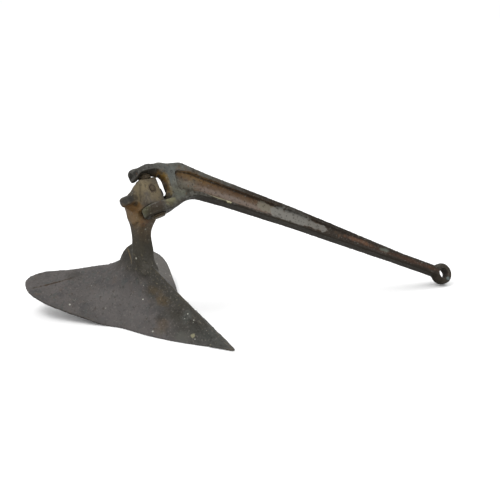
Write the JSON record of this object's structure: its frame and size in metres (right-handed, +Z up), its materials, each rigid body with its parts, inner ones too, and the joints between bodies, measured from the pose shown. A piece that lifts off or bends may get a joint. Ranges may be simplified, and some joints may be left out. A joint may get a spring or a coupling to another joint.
{
  "type": "boat anchor",
  "caption": "Hinged plough anchor for a small boat: a curved ploughshare, and a forked shank that swings side to side on the share's horn and ends in a shackle eye.",
  "frame": {"origin": "bottom centre of the whole anchor's box, with the share level on the ground and the shank resting on its eye", "axes": "+X forward along the share towards its point, +Y to port, +Z up"},
  "size_m": [0.2712, 0.3526, 0.147],
  "materials": {
    "bronze_plate": "dark brown-grey patina, matt",
    "bronze_horn": "olive-brown patina with rubbed tan patches",
    "bronze_shank": "dark patina, satin on the rubbed rims",
    "bronze_pin": "dull brown patina",
    "ballast": "rough dull grey filling"
  },
  "bodies": {
    "share": {"horn": "bronze_horn", "port_mouldboard": "bronze_plate", "starboard_mouldboard": "bronze_plate", "toe_ballast": "ballast", "hinge_pin": "bronze_pin", "cross_rivet": "bronze_pin", "thrust_washer": "bronze_pin", "pin_rove": "bronze_pin"},
    "shank": {"shank": "bronze_shank"}
  },
  "joints": [
    {"name": "shank_swing", "type": "hinge", "parent": "share", "child": "shank", "pos_m": [-0.02397, -0.09802, 0.1186], "axis": [-0.515, 0, 0.8572], "range_deg": [-162.4, 13.6]}
  ]
}
